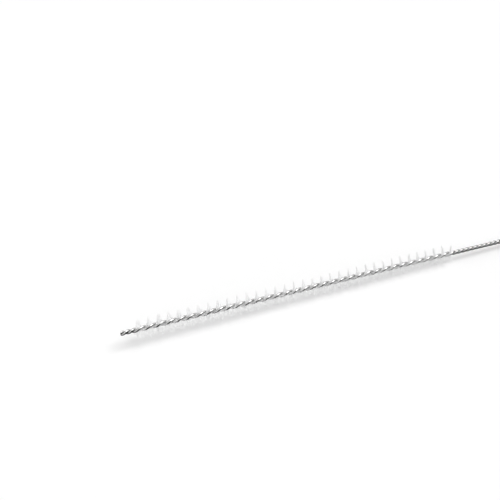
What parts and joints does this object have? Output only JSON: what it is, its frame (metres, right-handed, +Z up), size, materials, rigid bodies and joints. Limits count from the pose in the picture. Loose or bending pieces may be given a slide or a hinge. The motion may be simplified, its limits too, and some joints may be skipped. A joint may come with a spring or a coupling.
{
  "type": "test tube brush",
  "caption": "Slim test tube brush: a folded steel wire twisted round a spiral of clear nylon bristles, with a cut tip and a hanging eye.",
  "frame": {"origin": "on the surface the brush rests on, below the middle of its length", "axes": "+X along the brush towards the hanging eye, +Z up from the surface"},
  "size_m": [0.2, 0.0082, 0.0076],
  "materials": {
    "steel_wire": "bright drawn steel wire",
    "nylon": "translucent white nylon filament"
  },
  "bodies": {
    "root": {"twisted_wire": "steel_wire", "bristles": "nylon"}
  },
  "joints": []
}
